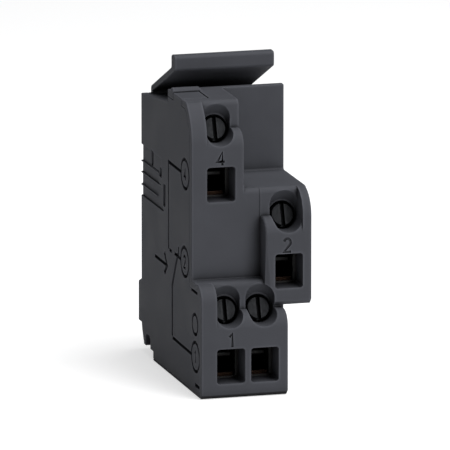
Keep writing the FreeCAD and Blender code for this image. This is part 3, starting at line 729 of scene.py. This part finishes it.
def moulded(name, body, width=round_width, cuts=()):
    """A node's softened copy with engravings, which stands for the node on its body."""
    piece = finished(soften(name, width))
    if cuts:
        cutter = bpy.data.objects.new(name + "_cutter", together(cuts, name + "_cutter"))
        scene.collection.objects.link(cutter)
        engrave = piece.modifiers.new("engrave", "BOOLEAN")
        engrave.operation = "DIFFERENCE"
        engrave.solver = "EXACT"
        engrave.use_self = True
        engrave.object = cutter
        finished(piece)
        bpy.data.objects.remove(cutter)
    show_smooth(piece, finishes[slot_of[name]])
    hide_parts(name)
    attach(piece, body)
    print(piece.name, "faces", len(piece.data.polygons))


# %% [markdown]
# The left side carries the contact diagram: the common contact 1 at the bottom, its line up to the
# blade, the two fixed contacts with their lines to circles 2 and 4, and an arrow where the plunger
# pushes. The places are depths and heights on the flat side, so the diagram stays on the cover at
# any size of line. The blade and the arrow's head are cut bolder than the rest. Two short grooves
# near the front mark the cover's snap points.

# %% Contact diagram
line_width = 0.42 * MM
bold_width = 0.60 * MM
line_depth = 0.30 * MM
ring_radius = 1.62 * MM
blade_foot = (12.97, 10.30)
diagram_lines = [
    [(11.43, 14.05), (11.43, 23.85), (16.63, 23.80)],
    [(11.80, 14.05), (12.75, 14.00)],
    [(13.90, 14.05), (16.48, 14.00)],
    [(15.55, 14.25), (15.55, 15.15)],
    [(13.10, 4.40), (20.90, 4.30)],
    [(5.78, 12.08), (10.60, 12.05)],
    [(20.85, 11.58), (23.35, 11.55)],
    [(22.35, 1.18), (24.55, 1.16)],
]
bold_lines = [
    [(12.97, 4.60), blade_foot, (15.25, 14.30)],
    [(9.72, 13.30), (10.80, 12.05), (9.72, 10.95)],
]
diagram_rings = {"4": (18.25, 23.85), "2": (18.10, 14.00), "1": (22.50, 4.30)}
small_ring = (22.33, 7.90)
small_ring_radius = 1.12 * MM
inner_digit_height = 1.35 * MM

diagram = [carried(np.array(line) * MM, line_width, line_depth, on_left) for line in diagram_lines]
diagram += [carried(np.array(line) * MM, bold_width, line_depth, on_left) for line in bold_lines]
for name, middle in diagram_rings.items():
    middle = np.array(middle) * MM
    diagram.append(carried(circle(middle, ring_radius), line_width, line_depth, on_left, closed=True))
    for stroke in digit(name, middle, inner_digit_height):
        diagram.append(carried(stroke, line_width * 0.8, line_depth, on_left))
diagram.append(carried(circle(np.array(small_ring) * MM, small_ring_radius), line_width, line_depth,
                       on_left, closed=True))
print("diagram strokes", len(diagram))

# %% [markdown]
# The cover's rear has a stack of shallow hollows for the machine that snaps it on. The construction
# has their floors. Fine grooves mark their lower edges, and broader ones their front ends.

# %% Lines of the hollows
hollow_line = 0.15 * MM
hollow_depth = 0.16 * MM
end_line = 1.0 * MM
end_depth = 0.38 * MM
hollow_edges = [
    [(-0.3, 21.88), (7.25, 21.88)],
    [(-0.3, 20.58), (8.20, 20.58)],
    [(-0.3, 19.18), (7.00, 19.18)],
    [(-0.3, 17.92), (9.40, 17.92)],
]
hollow_ends = [
    [(4.42, 21.95), (4.55, 23.70)],
    [(8.10, 21.42), (8.15, 22.45)],
    [(9.65, 18.45), (9.72, 20.95)],
]
for line in hollow_edges:
    diagram.append(carried(np.array(line) * MM, hollow_line, hollow_depth, on_left))
for line in hollow_ends:
    diagram.append(carried(np.array(line) * MM, end_line, end_depth, on_left))
moulded("side_cover", "block", cuts=diagram)

# %% [markdown]
# Each block's front carries its terminal's number over the wire entry, cut the same way into the
# front plane. The common pair has one number, over its left entry.

# %% Terminal numbers
number_height = 1.5 * MM
number_line = 0.32 * MM
number_depth = 0.14 * MM
entry_half = 1.93 * MM
number_gap = 0.22 * MM
numbers = []
for name, label, aside in (("4", "4", -0.05 * MM), ("2", "2", -0.2 * MM), ("1a", "1", 0.05 * MM)):
    across, front, entry = terminals[name]
    middle = (across + aside, entry + entry_half + number_gap + number_height / 2)
    for stroke in digit(label, middle, number_height):
        numbers.append(carried(stroke, number_line, number_depth, on_front(front)))
print("number strokes", len(numbers))

# %% [markdown]
# Over each screw the channel's arch drops into the round bore behind it. The mould core that makes
# both is one smooth finger, so each mouth gets a last cut by a funnel: two half circles of one
# radius with straight sides between them, which close to a full circle as they go in.

# %% Mouths of the screw channels
recess_step = 2.25 * MM
channel_radius = 1.595 * MM
arch_lift = 1.22 * MM
arch_run = 1.0 * MM
funnel_side = 20


def funnel(across, face, centre):
    """Places (u, v) = (across + R cos t, centre + R sin t), where the half with sin t > 0 is raised
    by the lift times one minus the share of the way in. One ring of places for each share."""
    upper = np.linspace(0, math.pi, funnel_side)
    lower = np.linspace(math.pi, 2 * math.pi, funnel_side)
    turn = np.concatenate([upper, lower])
    raised = np.repeat([1.0, 0.0], funnel_side)
    share = np.array([-0.06, 0.0, 0.25, 0.5, 0.75, 0.98])[:, None]
    lift = raised * arch_lift * np.minimum(1, 1 - share)
    grid = np.stack([across + channel_radius * np.cos(turn) + 0 * share,
                     face + arch_run * share + 0 * turn,
                     centre + channel_radius * np.sin(turn) + lift], axis=-1)
    rings, count = grid.shape[:2]
    i, j = np.meshgrid(np.arange(rings - 1), np.arange(count), indexing="ij")
    k = (j + 1) % count
    faces = np.stack([i * count + j, i * count + k, (i + 1) * count + k, (i + 1) * count + j],
                     axis=-1).reshape(-1, 4).tolist()
    faces += [list(range(count)), [(rings - 1) * count + n for n in range(count)]]
    return grid.reshape(-1, 3), faces


mouths = [funnel(across, front + recess_step, entry + screw_rise)
          for across, front, entry in terminals.values()]
moulded("casing", "block", cuts=numbers + mouths)
moulded("release_latch", "latch")
moulded("rear_plunger", "plunger", width=0.06 * MM)

# %% [markdown]
# The clamp screws are turned from steel and coloured near black. The construction has their shanks
# plain, so each is made again as one surface of revolution whose radius changes along the screw: a flat
# face with a small soft chamfer, a head with turning ridges, a rolled thread and a plain spigot. The
# thread is the same formula with the radius rising and falling along a helix. The slot comes after.

# %% Profile of a screw
screw_tilt = math.radians(24.0)
screw_line = np.array([0.0, math.cos(screw_tilt), -math.sin(screw_tilt)])
screw_up = np.array([0.0, math.sin(screw_tilt), math.cos(screw_tilt)])
screw_side = np.array([1.0, 0.0, 0.0])
head_radius = 1.32 * MM
head_chamfer = 0.12 * MM
head_length = 1.3 * MM
ridge_depth = 0.018 * MM
ridge_pitch = 0.16 * MM
shank_radius = 1.0 * MM
shank_length = 6.4 * MM
spigot_radius = 0.7 * MM
spigot_length = 0.6 * MM
thread_pitch = 0.45 * MM
thread_depth = 0.14 * MM


def screw_profile():
    """Distances along the screw and radii: a chamfer with softened edges at the face, ridges on the
    head, then the shank and the spigot. A third column is the share of thread at each place."""
    inner = head_radius - head_chamfer
    face = np.array([[0.0, inner * 0.35, 0], [0.0, inner * 0.7, 0]])
    shoulder = np.array([[0.0, inner - 0.04 * MM, 0], [0.015 * MM, inner, 0],
                         [0.05 * MM, inner + 0.04 * MM, 0], [head_chamfer, head_radius - 0.04 * MM, 0],
                         [head_chamfer + 0.03 * MM, head_radius - 0.01 * MM, 0],
                         [head_chamfer + 0.07 * MM, head_radius, 0]])
    along = np.arange(head_chamfer + ridge_pitch, head_length - ridge_pitch / 4, ridge_pitch / 4)
    ridged = head_radius - ridge_depth * (1 - np.cos(2 * math.pi * (along - along[0]) / ridge_pitch))
    head = np.stack([along, ridged, np.zeros(len(along))], axis=1)
    step = np.array([[head_length, head_radius - ridge_depth, 0], [head_length, shank_radius, 0]])
    along = np.arange(head_length + thread_pitch / 8, shank_length - thread_pitch / 4, thread_pitch / 8)
    ends = np.minimum(1, np.minimum(along - head_length, shank_length - along) / thread_pitch)
    thread = np.stack([along, np.full(len(along), shank_radius), ends], axis=1)
    tip = np.array([[shank_length, shank_radius - thread_depth / 2, 0], [shank_length, spigot_radius, 0],
                    [shank_length + spigot_length, spigot_radius, 0]])
    return np.concatenate([face, shoulder, head, step, thread, tip])


print("profile places", len(screw_profile()))

# %% [markdown]
# The profile is turned about the screw's own line, which points into the block and down. The screws
# are all alike, so one function makes each from the place of its head's middle.

# %% Turned screw
around = 56


def turned_screw(origin):
    """Places origin + line * s + radius * (side * cos t + up * sin t), where the radius is the
    profile's, less the thread's depth times half of one minus the cosine of the turn off the helix."""
    profile = screw_profile()
    turn = np.linspace(0, 2 * math.pi, around, endpoint=False)
    s = profile[:, 0][:, None]
    phase = 2 * math.pi * s / thread_pitch - turn[None, :]
    radius = profile[:, 1][:, None] - profile[:, 2][:, None] * thread_depth * 0.5 * (1 - np.cos(phase))
    rays = np.cos(turn)[:, None] * screw_side + np.sin(turn)[:, None] * screw_up
    grid = origin + s[:, :, None] * screw_line + radius[:, :, None] * rays[None, :, :]
    rows = len(profile)
    i, j = np.meshgrid(np.arange(rows - 1), np.arange(around), indexing="ij")
    k = (j + 1) % around
    faces = np.stack([i * around + j, i * around + k, (i + 1) * around + k, (i + 1) * around + j],
                     axis=-1).reshape(-1, 4).tolist()
    first, last = rows * around, rows * around + 1
    ends = np.array([origin, origin + screw_line * profile[-1, 0]])
    verts = np.concatenate([grid.reshape(-1, 3), ends])
    ring = np.arange(around)
    after = (ring + 1) % around
    faces += np.stack([np.full(around, first), after, ring], axis=1).tolist()
    low = (rows - 1) * around
    faces += np.stack([np.full(around, last), low + ring, low + after], axis=1).tolist()
    return verts, faces


print("steps round a screw", around)

# %% [markdown]
# The screwdriver slot is milled straight across the head. A bar with the slot's width cuts it, and
# the same screw is set into each of the four channels, where it rides on its own body.

# %% Slots and screws
slot_width = 0.46 * MM
slot_deep = 0.7 * MM
slot_turn = math.radians(-1.0)


def slot_bar(origin):
    """A bar across the head, turned a little, which cuts the screwdriver slot."""
    lean = screw_up * math.cos(slot_turn) - screw_side * math.sin(slot_turn)
    wide = screw_side * math.cos(slot_turn) + screw_up * math.sin(slot_turn)
    corners = []
    for up in (-1, 1):
        for side in (-1, 1):
            for deep in (-head_radius, slot_deep):
                corners.append(origin + lean * up * 2 * head_radius + wide * side * slot_width / 2
                               + screw_line * deep)
    faces = [[0, 1, 3, 2], [4, 6, 7, 5], [0, 4, 5, 1], [2, 3, 7, 6], [0, 2, 6, 4], [1, 5, 7, 3]]
    return np.array(corners), faces


for name, (across, front, entry) in terminals.items():
    origin = np.array([across, front + screw_set, entry + screw_rise])
    screw = bpy.data.objects.new("clamp_screw_" + name, mesh_of(*turned_screw(origin), "screw"))
    scene.collection.objects.link(screw)
    cutter = bpy.data.objects.new("slot_cutter", mesh_of(*slot_bar(origin), "slot"))
    scene.collection.objects.link(cutter)
    slot = screw.modifiers.new("slot", "BOOLEAN")
    slot.operation = "DIFFERENCE"
    slot.solver = "EXACT"
    slot.object = cutter
    finished(screw)
    bpy.data.objects.remove(cutter)
    show_smooth(screw, finishes["screw_steel"])
    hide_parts("terminal_screw_" + name)
    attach(screw, "screw_" + name)
    print(screw.name, "faces", len(screw.data.polygons))

# %% [markdown]
# The return spring is a wire wound round a peg on the inner chamber's front wall, in line with the
# plunger. The construction has it in straight stretches, so it is made again as a tube whose middle
# follows a smooth helix, with its end turns flat so that they seat.

# %% Return spring
spring_low, spring_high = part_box("return_spring")
wire_radius = 0.1 * MM
coil_turns = 4.0
steps_a_turn = 28
wire_sides = 12
spring_mid = np.array([(spring_low[0] + spring_high[0]) / 2, 0, (spring_low[2] + spring_high[2]) / 2])
coil_radius = (spring_high[0] - spring_low[0]) / 2 - wire_radius
coil_start = spring_low[1] + wire_radius
coil_end = spring_high[1] - wire_radius


def coil():
    """Places on a tube: the middle runs on a helix whose advance eases in and out at the ends, and
    the section is a circle across the wire, in the outward and the axial directions."""
    count = int(coil_turns * steps_a_turn) + 1
    share = np.linspace(0, 1, count)
    turn = 2 * math.pi * coil_turns * share
    eased = share - 0.6 / (2 * math.pi) * np.sin(2 * math.pi * share)
    out = np.stack([np.cos(turn), np.zeros(count), np.sin(turn)], axis=1)
    middle = spring_mid + out * coil_radius
    middle[:, 1] = coil_start + (coil_end - coil_start) * eased
    side = np.linspace(0, 2 * math.pi, wire_sides, endpoint=False)
    axial = np.array([0.0, 1.0, 0.0])
    rays = (np.cos(side)[None, :, None] * out[:, None, :] + np.sin(side)[None, :, None] * axial)
    verts = (middle[:, None, :] + wire_radius * rays).reshape(-1, 3)
    i, j = np.meshgrid(np.arange(count - 1), np.arange(wire_sides), indexing="ij")
    k = (j + 1) % wire_sides
    faces = np.stack([i * wire_sides + j, i * wire_sides + k, (i + 1) * wire_sides + k,
                      (i + 1) * wire_sides + j], axis=-1).reshape(-1, 4).tolist()
    faces += [list(range(wire_sides)), [(count - 1) * wire_sides + n for n in range(wire_sides)]]
    return verts, faces


spring = bpy.data.objects.new("coil_spring", mesh_of(*coil(), "coil"))
scene.collection.objects.link(spring)
show_smooth(spring, finishes["clamp_steel"])
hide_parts("return_spring")
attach(spring, "block")
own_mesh(spring)
print("spring faces", len(spring.data.polygons), "length in mm",
      round((spring_high[1] - spring_low[1]) / MM, 2))
